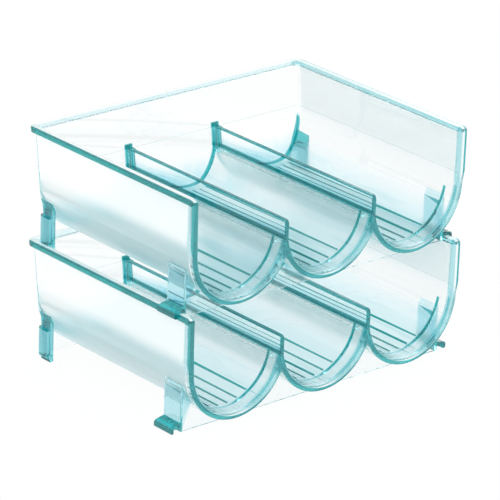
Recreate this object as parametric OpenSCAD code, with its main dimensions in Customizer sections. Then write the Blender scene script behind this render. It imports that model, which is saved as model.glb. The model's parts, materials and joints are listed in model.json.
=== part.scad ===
/* [Troughs] */
// Distance between the centre lines of neighbouring troughs
trough_pitch = 96; // [80:0.2:110]
// Outside radius of each half-round trough
trough_radius = 50; // [44:0.5:56]
// Height of the trough undersides above the feet
trough_lift = 8; // [5:0.5:12]
// Height of the fine ribs above the trough floor
rib_height = 0.8; // [0.3:0.1:1.5]
// Width of each fine rib
rib_width = 1.2; // [0.6:0.1:2]
// Spacing of the ribs across a trough
rib_pitch = 10; // [7:0.5:14]
// Bare floor in front of the ribs
rib_setback = 18; // [8:1:40]

/* [Walls] */
// Height of one tray from the feet to the rim top
tray_height = 106; // [98:1:130]
// Depth of one tray over the rim
tray_depth = 218; // [160:2:260]
// Moulded wall thickness
wall = 2.6; // [2:0.1:3.2]
// Inward lean of the side walls in degrees
side_draft = 0.5; // [0.5:0.5:4]
// Inward lean of the back wall in degrees
back_draft = 7; // [4:0.5:9]
// Outside radius of the rear wall corners under the rim
corner_radius = 5.5; // [4.5:0.5:18]
// Height of the thickness step on the inside of the walls
step_height = 66; // [62:1:90]
// Depth of that step
step_depth = 0.4; // [0.2:0.1:0.8]

/* [Rim] */
// How far the rim bead stands out of the wall
bead = 4; // [2:0.1:4.5]
// Height of the rim bead
bead_height = 5; // [3:0.5:6]
// How far the bead under the trough fronts stands out
lip_bead = 2.5; // [0.8:0.1:3]
// Radius of the front upper corners of the side walls
front_radius = 4; // [3:0.5:9]

/* [Dividers] */
// Thickness of the two dividers
divider_wall = 3; // [2:0.1:4]
// Height of the divider tops above the feet
divider_top = 67; // [60:1:80]
// Radius of the divider front corners
divider_round = 3.5; // [1:0.5:8]
// Thickness of the divider where it runs into the back wall
divider_root = 5.4; // [4:0.2:8]

/* [Feet] */
// How far the feet drop over the rim of the tray below
seat_depth = 3.5; // [3:0.5:7]
// Side gap between the feet and the rim of the tray below
seat_gap = 0.4; // [0.2:0.1:1]
// Distance of the front web behind the front edge
web_setback = 14.5; // [8:0.5:20]
// Length of each front foot along the side wall
foot_length = 22; // [12:1:30]
// Thickness of the hooked lip of a front foot
hook_wall = 3; // [2:0.1:4]
// Distance of the rear posts in front of the rim back edge
post_setback = 13.5; // [11:0.5:30]
// Length of each rear post along the side wall
post_length = 15.5; // [12:0.5:30]
// Length of the arm each rear post turns along the back
post_arm = 11; // [9:0.5:20]
// Height of the ledge on the outside of a rear post
post_ledge = 28; // [18:1:40]
// Height of the rear web edge above the feet
rear_web_lift = 4; // [3.5:0.5:12]
// Width of the arched cut-outs in the rear web
arch_width = 28; // [16:1:36]
// Height of their tops above the feet
arch_top = 21; // [14:1:26]

/* [Hidden] */
$fn = 96;
eps = 0.02;
far = 400;
axis_z = trough_lift + trough_radius;
rim_half = trough_pitch + trough_radius + (tray_height - axis_z) * tan(side_draft) + bead;
rim_z = tray_height - bead_height;
bead_corner = corner_radius + bead;
stack_pitch = tray_height - seat_depth;
foot_x = side_x(stack_pitch) - wall - seat_gap;
hook_in = rim_half + seat_gap;
hook_out = hook_in + hook_wall;
divider_x = trough_pitch / 2;
inner_radius = trough_radius - wall;
notch_z = axis_z - sqrt(pow(trough_radius, 2) - pow(divider_x, 2));
post_back = tray_depth - post_setback;

function side_x(z) = trough_pitch + trough_radius + (z - axis_z) * tan(side_draft);
function back_y(z) = tray_depth - bead - (tray_height - z) * tan(back_draft);

// Stretches a drawing of the front view over part of the depth
module along_depth(from, to) {
    translate([0, to, 0])
        rotate([90, 0, 0])
            linear_extrude(height = to - from)
                children();
}

// Front view of walls and troughs grown by g, drawn up to the given height
module section(g, top) {
    intersection() {
        union() {
            for (k = [-1, 0, 1])
                translate([k * trough_pitch, axis_z])
                    circle(r = trough_radius + g);
            polygon([
                [-side_x(axis_z) - g, axis_z],
                [side_x(axis_z) + g, axis_z],
                [side_x(top) + g, top],
                [-side_x(top) - g, top]
            ]);
        }
        translate([-far, -far])
            square([2 * far, far + top]);
    }
}

// Everything behind the leaning back wall and outside its rounded corners
module behind_back(g) {
    translate([0, tray_depth - bead + g, tray_height])
        rotate([-back_draft, 0, 0])
            translate([-far, 0, -far])
                cube([2 * far, far, 2 * far]);
    for (s = [-1, 1])
        translate([s * (side_x(tray_height) - corner_radius), tray_depth - bead - corner_radius, tray_height])
            rotate([-back_draft, s * side_draft, 0])
                difference() {
                    translate([s > 0 ? 0 : -far, 0, -far])
                        cube([far, far, 2 * far]);
                    cylinder(r = corner_radius + g + eps, h = 3 * far, center = true);
                }
}

// Solid block in the shape of the tray outside
module envelope() {
    difference() {
        along_depth(0, tray_depth + 10)
            section(0, tray_height);
        behind_back(0);
    }
}

// Room inside the walls, open at the front and at the top
module cavity() {
    difference() {
        along_depth(-1, tray_depth + 10)
            section(-wall, tray_height + 2);
        behind_back(-wall);
    }
    difference() {
        along_depth(-1, tray_depth + 10)
            polygon([
                [-side_x(step_height) + wall - step_depth, step_height],
                [side_x(step_height) - wall + step_depth, step_height],
                [side_x(tray_height + 2) - wall + step_depth, tray_height + 2],
                [-side_x(tray_height + 2) + wall - step_depth, tray_height + 2]
            ]);
        behind_back(-wall + step_depth);
    }
}

// Profile of the bead, its outer face at zero and the wall side at plus x
module bead_profile() {
    round_r = bead_height / 4;
    translate([round_r, 0])
        square([bead + 1.5 - round_r, bead_height]);
    translate([0, round_r])
        square([bead, bead_height - 2 * round_r]);
    translate([round_r, round_r])
        circle(r = round_r);
    translate([round_r, bead_height - round_r])
        circle(r = round_r);
}

// Bead round the left, back and right rim
module rim() {
    for (s = [0, 1])
        mirror([s, 0, 0]) {
            translate([0, 0, rim_z])
                along_depth(bead_height - 1, tray_depth - bead_corner)
                    translate([-rim_half, 0])
                        bead_profile();
            translate([-rim_half + bead_corner, tray_depth - bead_corner, rim_z])
                rotate([0, 0, 90])
                    rotate_extrude(angle = 90)
                        translate([bead_corner, 0])
                            mirror([1, 0])
                                bead_profile();
        }
    translate([-rim_half + bead_corner, tray_depth, rim_z])
        rotate([90, 0, 90])
            linear_extrude(height = 2 * (rim_half - bead_corner))
                mirror([1, 0])
                    bead_profile();
}

// The same bead turned down the wall fronts and carried round the troughs
module front_bead() {
    along_depth(0, bead_height)
        section(lip_bead, tray_height - bead_height);
    for (s = [0, 1])
        mirror([s, 0, 0])
            along_depth(0, bead_height)
                polygon([
                    [side_x(axis_z) - 1, axis_z],
                    [side_x(axis_z) + lip_bead, axis_z],
                    [rim_half, axis_z + 9],
                    [rim_half, tray_height],
                    [side_x(tray_height) - 1, tray_height]
                ]);
}

// Rounds the front upper corners of the side walls
module front_corner_cut() {
    translate([-far, -1, tray_height - front_radius])
        difference() {
            cube([2 * far, front_radius + 1, front_radius + 1]);
            translate([-1, front_radius + 1, 0])
                rotate([0, 90, 0])
                    cylinder(r = front_radius, h = 2 * far + 2);
        }
}

// Upright web under the trough fronts, from foot to foot
module front_web() {
    along_depth(web_setback, web_setback + wall)
        translate([-foot_x, 0])
            square([2 * foot_x, axis_z]);
}

// Back wall carried on down behind the troughs, with an arch under each cusp
module rear_web() {
    low = (tray_height - rear_web_lift) / cos(back_draft);
    translate([0, tray_depth - bead, tray_height])
        rotate([-back_draft, 0, 0])
            translate([0, 0, -low])
                along_depth(-wall, 0)
                    difference() {
                        translate([-foot_x + 2, 0])
                            square([2 * foot_x - 4, axis_z - rear_web_lift - 6]);
                        for (s = [-1, 1])
                            translate([s * divider_x, 0])
                                arch();
                    }
}

// Outline of one arched cut-out, with rounded upper corners
module arch() {
    high = arch_top - rear_web_lift;
    turn = 4;
    translate([-arch_width / 2, -1])
        square([arch_width, high - turn + 1]);
    translate([-arch_width / 2 + turn, 0])
        square([arch_width - 2 * turn, high]);
    for (s = [-1, 1])
        translate([s * (arch_width / 2 - turn), high - turn])
            circle(r = turn);
}

// Front foot: a plate inside the rim below and a hook over it
module front_foot() {
    along_depth(web_setback, web_setback + foot_length)
        polygon([
            [foot_x - wall, 0],
            [foot_x, 0],
            [foot_x, seat_depth],
            [hook_in, seat_depth],
            [hook_in, 0],
            [hook_out - 0.8, 0],
            [hook_out, 0.8],
            [hook_out, seat_depth + 0.8],
            [hook_out - 1.6, seat_depth + 2.4],
            [foot_x, seat_depth + 4.4],
            [foot_x, axis_z - 6],
            [foot_x - wall, axis_z - 6]
        ]);
}

// Plan of a rear post: an angle with a rounded outer corner
module post_plan(g, thick) {
    turn = 4 + g;
    difference() {
        union() {
            translate([foot_x + g - post_arm, post_back + g - post_length])
                square([post_arm, post_length - turn]);
            translate([foot_x + g - post_arm, post_back + g - post_length])
                square([post_arm - turn, post_length]);
            translate([foot_x + g - turn, post_back + g - turn])
                circle(r = turn);
        }
        translate([foot_x + g - thick - 60, post_back + g - thick - 60])
            square([60, 60]);
    }
}

// Rear post, lower inside the rim below and resting on that rim
module rear_post() {
    linear_extrude(height = axis_z - 6)
        post_plan(0, wall + 0.5);
    translate([0, 0, seat_depth])
        linear_extrude(height = post_ledge - seat_depth)
            post_plan(2.2, wall + 1);
}

// Divider standing on the cusp between two troughs
module divider() {
    front = [divider_round, divider_top - divider_round];
    foot = notch_z + 1;
    translate([divider_x - divider_wall / 2, 0, 0])
        rotate([90, 0, 90])
            linear_extrude(height = divider_wall) {
                polygon([
                    [0, foot],
                    [0, front[1]],
                    front,
                    [front[0], divider_top],
                    [back_y(divider_top) - wall / 2, divider_top],
                    [back_y(foot) - wall / 2, foot]
                ]);
                translate(front)
                    circle(r = divider_round);
            }
    translate([divider_x - divider_root / 2, 0, 0])
        rotate([90, 0, 90])
            linear_extrude(height = divider_root)
                polygon([
                    [back_y(foot + 2) - wall - 6, foot + 2],
                    [back_y(divider_top) - wall - 6, divider_top],
                    [back_y(divider_top) - wall / 2, divider_top],
                    [back_y(foot + 2) - wall / 2, foot + 2]
                ]);
}

// Fine lengthwise ribs on the trough floors
module ribs() {
    rib_end = back_y(trough_lift) - wall - 10;
    for (k = [-1, 0, 1])
        for (n = [-2.5:1:2.5])
            translate([k * trough_pitch, rib_setback, axis_z])
                rotate([0, -asin(n * rib_pitch / inner_radius), 0])
                    translate([-rib_width / 2, 0, -inner_radius - 0.5])
                        cube([rib_width, rib_end - rib_setback, rib_height + 0.5]);
}

// One complete tray moulding, feet on the floor and open side at minus y
module tray() {
    translate([0, -tray_depth / 2, 0]) {
        difference() {
            union() {
                envelope();
                rim();
                front_bead();
                front_web();
                rear_web();
                for (s = [0, 1])
                    mirror([s, 0, 0]) {
                        front_foot();
                        rear_post();
                    }
            }
            cavity();
            front_corner_cut();
        }
        for (s = [0, 1])
            mirror([s, 0, 0])
                divider();
        ribs();
    }
}

module lower_tray() {
    color([0.45, 0.78, 0.78, 0.5])
        tray();
}

module upper_tray() {
    color([0.45, 0.78, 0.78, 0.5])
        translate([0, 0, stack_pitch])
            tray();
}

lower_tray();
upper_tray();
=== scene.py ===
import json
import math
import bpy
from mathutils import Euler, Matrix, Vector

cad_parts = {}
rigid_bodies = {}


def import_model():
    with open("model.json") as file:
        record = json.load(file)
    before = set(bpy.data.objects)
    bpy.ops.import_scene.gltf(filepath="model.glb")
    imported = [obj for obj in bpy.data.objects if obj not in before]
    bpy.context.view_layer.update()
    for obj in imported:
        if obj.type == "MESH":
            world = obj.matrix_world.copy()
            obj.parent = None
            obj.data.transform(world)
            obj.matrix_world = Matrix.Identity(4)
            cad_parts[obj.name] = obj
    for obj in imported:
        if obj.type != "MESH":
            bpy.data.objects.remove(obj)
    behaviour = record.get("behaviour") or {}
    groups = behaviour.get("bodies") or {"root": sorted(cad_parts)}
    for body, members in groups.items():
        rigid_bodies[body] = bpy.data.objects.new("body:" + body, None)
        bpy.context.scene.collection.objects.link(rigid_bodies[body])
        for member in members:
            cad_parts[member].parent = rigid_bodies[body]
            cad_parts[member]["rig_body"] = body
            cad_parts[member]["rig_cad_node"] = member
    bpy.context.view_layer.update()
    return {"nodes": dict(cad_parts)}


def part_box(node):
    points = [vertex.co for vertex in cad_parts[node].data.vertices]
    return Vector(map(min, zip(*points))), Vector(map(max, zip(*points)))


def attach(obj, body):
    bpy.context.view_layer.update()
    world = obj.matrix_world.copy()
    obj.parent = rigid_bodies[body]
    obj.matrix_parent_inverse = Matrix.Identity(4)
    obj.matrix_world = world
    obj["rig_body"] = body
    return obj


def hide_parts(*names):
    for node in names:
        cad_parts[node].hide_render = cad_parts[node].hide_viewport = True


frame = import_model()

# Camera.
# It stands high to the front left, far off, with a long lens and a slight roll.
view = bpy.data.cameras.new("photo_camera")
view.sensor_width = 36.0
view.lens = 276.58
view.clip_start = 0.1
view.clip_end = 20.0
camera = bpy.data.objects.new("photo_camera", view)
bpy.context.scene.collection.objects.link(camera)
camera.location = (-1.9916, -2.2805, 1.3189)
azimuth, elevation, lean = -41.24, 21.99, 2.15
swing = Euler((0.0, 0.0, math.radians(azimuth))).to_matrix()
tilt = Euler((math.radians(90.0 - elevation), 0.0, 0.0)).to_matrix()
roll = Euler((0.0, 0.0, math.radians(lean))).to_matrix()
camera.rotation_euler = (swing @ tilt @ roll).to_euler()
bpy.context.scene.camera = camera


# The two trays.
# Each is one injection moulding in clear teal-tinted polystyrene, polished by its
# mould. The tint is faint through a wall. The deep teal in the rim bead, the lips, the
# feet and the divider roots is partly the real tint of thicker plastic and partly painted
# shade for the dark lines that refraction draws at edges.
def linear(code):
    """sRGB hex colour as the linear RGBA that a shader takes."""
    parts = [int(code[i:i + 2], 16) / 255.0 for i in (0, 2, 4)]
    return tuple(c / 12.92 if c <= 0.04045 else ((c + 0.055) / 1.055) ** 2.4
                 for c in parts) + (1.0,)


def add(tree, kind, settings=None, *inputs, **named):
    """Adds one node with its settings; each input takes a value, a socket or a node."""
    node = tree.nodes.new("ShaderNode" + kind)
    for key, value in (settings or {}).items():
        setattr(node, key, value)
    slots = list(enumerate(inputs)) + [(k.replace("_", " "), v) for k, v in named.items()]
    for slot, source in slots:
        if isinstance(source, bpy.types.Node):
            source = source.outputs[0]
        if isinstance(source, bpy.types.NodeSocket):
            tree.links.new(source, node.inputs[slot])
        else:
            node.inputs[slot].default_value = source
    return node


# Sizes of one tray in metres, with each level measured from its own feet.
lower_low, lower_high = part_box("lower_tray")
stack_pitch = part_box("upper_tray")[0][2] - lower_low[2]
front = lower_low[1]
rim_top = lower_high[2]
rim_foot = rim_top - 0.005
bead_back = front + 0.005
web_front = front + 0.0145
web_back = web_front + 0.0026
trough_pitch = 0.096
trough_radius = 0.050
inner_radius = trough_radius - 0.0026
axis_level = 0.058
divider_at = trough_pitch / 2
divider_top = 0.067
# The level where a divider grows out of the two troughs beside it.
crease = 0.0488
# The back wall leans out by 7 degrees, and its inner face would meet the table here.
back_slope = 0.1228
back_foot = 0.0894

# Clear polystyrene: sharp reflections, and a tint that grows with the path through it.
# What passes the surface is nearly white on the walls and deep teal along the divider
# roots and on the inner and outer edge of the front lip: partly the real tint of thicker
# plastic, partly painted shade for the dark lines that refraction draws there.
# The trough floors are satin underneath, which blurs what stands below them, and carry
# painted shadow: a faint teal with lengthwise streaks a few millimetres wide, for the
# tray's shadow on the table seen through them. The side walls outside carry painted
# glare, a cloudy white share that stands in for the white they mirror.
clear = bpy.data.materials.new("clear_teal_polystyrene")
clear.use_nodes = True
tree = clear.node_tree
tree.nodes.clear()
place = add(tree, "TexCoord").outputs["Object"]
part = add(tree, "SeparateXYZ", None, place)
depthwise, height = part.outputs["Y"], part.outputs["Z"]

# Height over each tray's own feet, and distance from the nearest divider's middle.
upper = add(tree, "Math", {"operation": "GREATER_THAN"}, height, rim_top + 0.0002)
level = add(tree, "Math", {"operation": "MULTIPLY_ADD"}, upper, -stack_pitch, height)
across = add(tree, "Math", {"operation": "ABSOLUTE"}, part.outputs["X"])
past = add(tree, "Math", {"operation": "SUBTRACT"}, across, divider_at)
from_divider = add(tree, "Math", {"operation": "ABSOLUTE"}, past)

# Sideways place in the nearest trough, left negative, and radius from its axis.
beyond = add(tree, "Math", {"operation": "GREATER_THAN"}, across, divider_at)
inward = add(tree, "Math", {"operation": "MULTIPLY_ADD"}, beyond, -trough_pitch, across)
side = add(tree, "Math", {"operation": "SIGN"}, part.outputs["X"])
along = add(tree, "Math", {"operation": "MULTIPLY"}, side, inward)
over_axis = add(tree, "Math", {"operation": "SUBTRACT"}, level, axis_level)
below = add(tree, "Math", {"operation": "MINIMUM"}, over_axis, 0.0)
squared = add(tree, "Math", {"operation": "MULTIPLY"}, below, below)
sum_squared = add(tree, "Math", {"operation": "MULTIPLY_ADD"}, along, along, squared)
radius = add(tree, "Math", {"operation": "SQRT"}, sum_squared)

# The dark line of painted shade on the lip's face is wide on the left of a trough and
# thin on the right.
line_spread = 0.046
line_middle = trough_radius - 0.0004
onset = add(tree, "Math", {"operation": "MULTIPLY_ADD"}, along, line_spread, line_middle)
past_onset = add(tree, "Math", {"operation": "SUBTRACT"}, radius, onset)
# The back wall leans out, so its inner face lies further back the higher it is.
back_wall = add(tree, "Math", {"operation": "MULTIPLY_ADD"}, level, back_slope, back_foot)
to_back = add(tree, "Math", {"operation": "SUBTRACT"}, back_wall, depthwise)
# Streaks in the trough floors' painted shadow, about 6 mm wide and 110 mm long, as so
# many to the metre.
streaks_per_metre = (170.0, 9.0, 60.0)
stretched = add(tree, "Mapping", None, place, Scale=streaks_per_metre)
streaks = add(tree, "TexNoise", None, stretched, Scale=1.0, Detail=3.0)

# Each row is one place of painted shade over the real tint of thicker plastic: a dark
# teal line or band for the dark edges that refraction draws, or in the trough floors a
# painted shadow. Its strength comes first, then quantities, each with the value where
# the tint fades in and the value where it is full. All are in metres but for the
# streaks. The deepest row is what shows.
at_divider = (from_divider, 0.0045, 0.0035)
over_crease = (level, crease, crease + 0.0008)
under_top = (level, divider_top + 0.0030, divider_top + 0.0020)
behind_face = (depthwise, front + 0.0006, front + 0.0014)
under_axis = (level, axis_level + 0.004, axis_level - 0.008)
on_inside = (radius, inner_radius + 0.0008, inner_radius + 0.0004)
in_floor = (radius, inner_radius + 0.0010, inner_radius + 0.0003)
low_in_trough = (level, crease - 0.0028, 0.0180)
in_rim = (level, rim_foot, rim_foot + 0.0005)
tint_and_shade_places = (
    # the root of a divider, dark for 4 mm over the crease and paler above
    (0.90, (over_crease, (level, crease + 0.0047, crease + 0.0034), at_divider)),
    (0.20, (over_crease, (level, crease + 0.0132, crease + 0.0034), at_divider)),
    # a divider's top edge, front edge and back end
    (0.90, ((level, divider_top - 0.0018, divider_top - 0.0012), under_top, at_divider)),
    (0.90, ((depthwise, front + 0.0022, front + 0.0015),
            (level, crease - 0.0008, crease + 0.0032), under_top, at_divider)),
    (0.60, ((to_back, 0.0075, 0.0060),
            (level, crease - 0.0028, crease + 0.0002), under_top, at_divider)),
    # the front lip: its face, the bead's outer side, the trough's inner edge, the cusps
    (0.90, ((depthwise, front + 0.0006, front + 0.0002), (past_onset, 0.0, 0.0005))),
    (0.55, ((depthwise, bead_back + 0.0006, bead_back), behind_face,
            (radius, trough_radius + 0.0001, trough_radius + 0.0004),
            (along, 0.004, 0.022), under_axis)),
    (0.45, ((depthwise, bead_back + 0.0010, bead_back + 0.0004), behind_face, on_inside,
            (along, 0.004, 0.024), under_axis)),
    (0.85, ((depthwise, bead_back + 0.0010, bead_back - 0.0020), (from_divider, 0.0070, 0.0020),
            (level, crease + 0.0042, crease - 0.0018), (level, 0.028, 0.036))),
    # the inner edge of a side wall's front
    (0.45, ((depthwise, bead_back + 0.0006, bead_back - 0.0002), (across, 0.1400, 0.1420),
            (across, 0.1465, 0.1450), (level, axis_level - 0.008, axis_level + 0.002))),
    # the outer half of the rim's top, painted shade deep on the left and fainter on the right
    (0.90, (in_rim, (part.outputs["X"], -0.1482, -0.1488))),
    (0.40, (in_rim, (part.outputs["X"], 0.1482, 0.1488))),
    # where the front web carries the trough, which shows as an arc through its floor
    (0.95, ((depthwise, web_front - 0.0009, web_front - 0.0001),
            (depthwise, web_back + 0.0003, web_back - 0.0005),
            on_inside, (along, -0.004, 0.024), (level, crease + 0.0022, crease + 0.0002))),
    # where a trough meets the back wall
    (0.80, ((to_back, 0.0024, 0.0010), (radius, 0.0448, 0.0464),
            (radius, inner_radius + 0.0008, inner_radius + 0.0003),
            (level, axis_level + 0.002, axis_level - 0.004))),
    # painted shadow in the trough floors, for the table's shade seen through them: streaks,
    # and an even share
    (0.34, (low_in_trough, in_floor, (streaks, 0.30, 0.70))),
    (0.24, (low_in_trough, in_floor)),
)
# Painted shade over the real tint of thicker plastic, from each face's layer and the table.
tint_and_shade = add(tree, "Attribute", {"attribute_name": "tint_and_painted_shade"}).outputs["Fac"]
for strength, steps in tint_and_shade_places:
    share = strength
    for quantity, start, full in steps:
        step = add(tree, "MapRange", {"interpolation_type": "SMOOTHSTEP"}, quantity, start, full)
        share = add(tree, "Math", {"operation": "MULTIPLY"}, share, step)
    tint_and_shade = add(tree, "Math", {"operation": "MAXIMUM"}, tint_and_shade, share)
colour = add(tree, "ValToRGB", None, tint_and_shade)
shades = colour.color_ramp
shades.elements[0].color = linear("FFFFFF")
shades.elements[1].color = linear("006E6C")
for position, code in ((0.2, "D2F3FA"), (0.4, "94D6DF"), (0.6, "44ADB3"), (0.8, "12949A")):
    shades.elements.new(position).color = linear(code)
satin = add(tree, "Attribute", {"attribute_name": "satin"}).outputs["Fac"]
# Painted glare: a cloudy white share on the outer side walls over the troughs and on the rim's
# top stands in for the white they mirror.
painted_glare = add(tree, "Attribute", {"attribute_name": "painted_glare"}).outputs["Fac"]
over_trough = add(tree, "MapRange", {"interpolation_type": "SMOOTHSTEP"}, level,
                  axis_level - 0.001, axis_level + 0.012)
painted_glare_share = add(tree, "Math", {"operation": "MULTIPLY"}, painted_glare, over_trough)
clarity = add(tree, "Math", {"operation": "SUBTRACT"}, 1.0, painted_glare_share)
shell = add(tree, "BsdfPrincipled", None, Base_Color=colour, Roughness=satin,
            IOR=1.57, Transmission_Weight=clarity)
path = add(tree, "LightPath")
veil = add(tree, "BsdfTransparent", None, linear("EAF7F9"))
mix = add(tree, "MixShader", None, path.outputs["Is Shadow Ray"], shell, veil)
tint = add(tree, "VolumeAbsorption", None, (0.0, 0.90, 0.91, 1.0), 5.0)
add(tree, "OutputMaterial", None, mix, tint)

# Each tray's copy, merged and smoothed, with what each face shows stored on it.
seat_clearance = 0.00005
front_foot_back = -0.0715
rear_post_front = 0.0790
for node_name, foot_level in (("lower_tray", 0.0), ("upper_tray", stack_pitch)):
    bpy.ops.object.select_all(action="DESELECT")
    source = frame["nodes"][node_name]
    piece = source.copy()
    piece.data = source.data.copy()
    piece.name = node_name + "_clear"
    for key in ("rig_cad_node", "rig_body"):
        if key in piece:
            del piece[key]
    piece.parent = None
    bpy.context.scene.collection.objects.link(piece)
    piece.select_set(True)
    bpy.context.view_layer.objects.active = piece
    if piece.data.has_custom_normals:
        bpy.ops.mesh.customdata_custom_splitnormals_clear()
    bpy.ops.object.mode_set(mode="EDIT")
    bpy.ops.mesh.select_all(action="SELECT")
    bpy.ops.mesh.remove_doubles(threshold=0.00001)
    bpy.ops.object.mode_set(mode="OBJECT")
    bpy.ops.object.shade_smooth_by_angle(angle=math.radians(25))
    # The upper tray's feet stop 0.05 mm over the rim they stand on, because light
    # can't cross two faces in one place.
    for vertex in piece.data.vertices:
        if foot_level and abs(vertex.co.z - rim_top) < 0.00002:
            vertex.co.z += seat_clearance
    piece.data.materials.clear()
    piece.data.materials.append(clear)
    tint_and_shade_layer = piece.data.attributes.new("tint_and_painted_shade", "FLOAT", "FACE")
    frosted = piece.data.attributes.new("satin", "FLOAT", "FACE")
    painted_glare_layer = piece.data.attributes.new("painted_glare", "FLOAT", "FACE")
    for face in piece.data.polygons:
        corners = [piece.data.vertices[i].co for i in face.vertices]
        low = [min(c[k] for c in corners) for k in range(3)]
        high = [max(c[k] for c in corners) for k in range(3)]
        low[2] -= foot_level
        high[2] -= foot_level
        width, length = high[0] - low[0], high[1] - low[1]
        outside = min(abs(low[0]), abs(high[0]))
        middle, facing = face.center, face.normal

        # How teal each face shows: the rim bead, deepest on its left side, a divider's top,
        # the ribs, the feet, and a web's edges. This is partly the real tint of thicker plastic
        # and partly painted shade for the dark edges that refraction draws and the darker left
        # side that the lighting gives. The rim's top has its tint from the table of places
        # above.
        rim = low[2] > rim_foot - 0.0002
        rim_side = rim and facing.z < 0.6
        top_edge = low[2] > divider_top - 0.0002 and high[2] < divider_top + 0.0005
        rib = high[2] < 0.030 and width < 0.0015 and length > 0.1
        front_foot = low[1] > web_front - 0.0015 and high[1] < front_foot_back
        rear_post = low[1] > rear_post_front
        foot = (outside > 0.1315 and width < 0.030 and high[2] < axis_level + 0.002
                and (front_foot or rear_post))
        web_edge = abs(facing.z) > 0.5 and length < 0.004 and high[2] < 0.030
        tint_and_painted_shade = 0.0
        # The rim bead's sides: painted shade, deepest on the left and paler on the right, for
        # the darker look the lighting gives the left side.
        if rim_side and high[0] < -0.140:
            tint_and_painted_shade = 1.0
        elif rim_side and low[0] > 0.140:
            tint_and_painted_shade = 0.5
        elif rim_side:
            tint_and_painted_shade = 0.22
        elif rim:
            tint_and_painted_shade = 0.0
        elif top_edge:
            tint_and_painted_shade = 0.85
        elif rib:
            tint_and_painted_shade = 1.0
        elif foot and high[2] < 0.009:
            tint_and_painted_shade = 0.9
        elif foot and low[2] > 0.028:
            tint_and_painted_shade = 0.8
        elif foot:
            tint_and_painted_shade = 0.45 if rear_post else 0.28
        elif web_edge:
            tint_and_painted_shade = 0.5
        tint_and_shade_layer.data[face.index].value = tint_and_painted_shade

        # Satin on the undersides of the troughs, and painted glare, a cloudy white share, on the
        # outer side walls and on the rim's top, which is also a little less sharp than the rest.
        from_axis = min(math.hypot(middle.x - x, middle.z - foot_level - axis_level)
                        for x in (-trough_pitch, 0.0, trough_pitch))
        lengthwise = abs(facing.y) < 0.3
        underside = facing.z < -0.02 and abs(from_axis - trough_radius) < 0.0008
        outer_wall = (abs(facing.x) > 0.99 and outside > 0.1455
                      and middle.x * facing.x > 0 and high[2] < rim_foot + 0.0005)
        if lengthwise and (underside or outer_wall):
            frosted.data[face.index].value = 0.3
            painted_glare_layer.data[face.index].value = 0.6 if outer_wall else 0.0
        elif rim:
            frosted.data[face.index].value = 0.12
            painted_glare_layer.data[face.index].value = 0.0 if rim_side else 0.6
    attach(piece, "root")
    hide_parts(node_name)

# Floor and light.
# A white table top in a white room whose walls are a little darker higher up, as in a
# product studio, so that the polished plastic has something darker to mirror. Two
# large soft boxes stand to the left and right.
bpy.ops.object.select_all(action="DESELECT")
bpy.ops.mesh.primitive_plane_add(size=12.0, location=(0, 0, -0.0002))
floor = bpy.context.object
floor.name = "white_floor"
# The paper glows evenly for the camera, and a little less for what the plastic mirrors
# or lets through, as an overexposed table top does. The rest of it takes the lamps'
# light and the tray's shadow.
mirrored_glow = 0.9
even_glow = 0.95
white = bpy.data.materials.new("white_paper")
white.use_nodes = True
tree = white.node_tree
tree.nodes.clear()
path = add(tree, "LightPath")
through = add(tree, "Math", {"operation": "MAXIMUM"}, path.outputs["Is Glossy Ray"],
              path.outputs["Is Transmission Ray"])
dimmed = add(tree, "Math", {"operation": "MULTIPLY"}, through, mirrored_glow)
seen = add(tree, "Math", {"operation": "MAXIMUM"}, path.outputs["Is Camera Ray"], dimmed)
bright = add(tree, "Math", {"operation": "MULTIPLY"}, seen, even_glow)
paper = add(tree, "BsdfDiffuse", None, (0.95, 0.95, 0.95, 1.0))
glow = add(tree, "Emission", None, (1.0, 1.0, 1.0, 1.0), 1.0)
mix = add(tree, "MixShader", None, bright, paper, glow)
add(tree, "OutputMaterial", None, mix)
floor.data.materials.append(white)

# Rough faces get a little less light than the room that the plastic mirrors has, so
# that the pale walls don't clip to white. The camera sees plain white.
world = bpy.data.worlds.new("white_room")
bpy.context.scene.world = world
world.use_nodes = True
tree = world.node_tree
tree.nodes.clear()
direction = add(tree, "TexCoord").outputs["Generated"]
steepness = add(tree, "SeparateXYZ", None, direction).outputs["Z"]
tone = add(tree, "ValToRGB", None, steepness)
walls = tone.color_ramp
walls.elements[0].position = 0.02
for element in walls.elements:
    element.color = linear("FFFFFF")
for position, grey in ((0.10, 1.0), (0.25, 0.97), (0.70, 0.94), (0.90, 1.0)):
    walls.elements.new(position).color = (grey, grey, grey, 1.0)
path = add(tree, "LightPath")
mirrored = add(tree, "Math", {"operation": "MAXIMUM"}, path.outputs["Is Glossy Ray"],
               path.outputs["Is Transmission Ray"])
daylight = add(tree, "Background", None, (1.0, 1.0, 1.0, 1.0), 0.85)
room = add(tree, "Background", None, tone, 1.0)
backdrop = add(tree, "Background", None, (1.0, 1.0, 1.0, 1.0), 1.0)
mix = add(tree, "MixShader", None, mirrored, daylight, room)
mix = add(tree, "MixShader", None, path.outputs["Is Camera Ray"], mix, backdrop)
add(tree, "OutputWorld", None, mix)

for name, spot, watts in (("key_soft_box", (-1.3, -1.0, 1.3), 17),
                          ("fill_soft_box", (1.5, 0.3, 1.0), 10)):
    lamp = bpy.data.lights.new(name, "AREA")
    lamp.shape = "RECTANGLE"
    lamp.size = lamp.size_y = 2.0
    lamp.energy = watts
    lamp_object = bpy.data.objects.new(name, lamp)
    bpy.context.scene.collection.objects.link(lamp_object)
    lamp_object.location = spot
    lamp_object.rotation_euler = Vector(spot).to_track_quat("Z", "Y").to_euler()

# Picture.
# The long limits let light run along a clear plate to its far end before it leaves.
scene = bpy.context.scene
scene.view_settings.view_transform = "Standard"
long_path = 128
scene.cycles.max_bounces = long_path
scene.cycles.transmission_bounces = long_path
scene.cycles.glossy_bounces = long_path
scene.cycles.transparent_max_bounces = 24
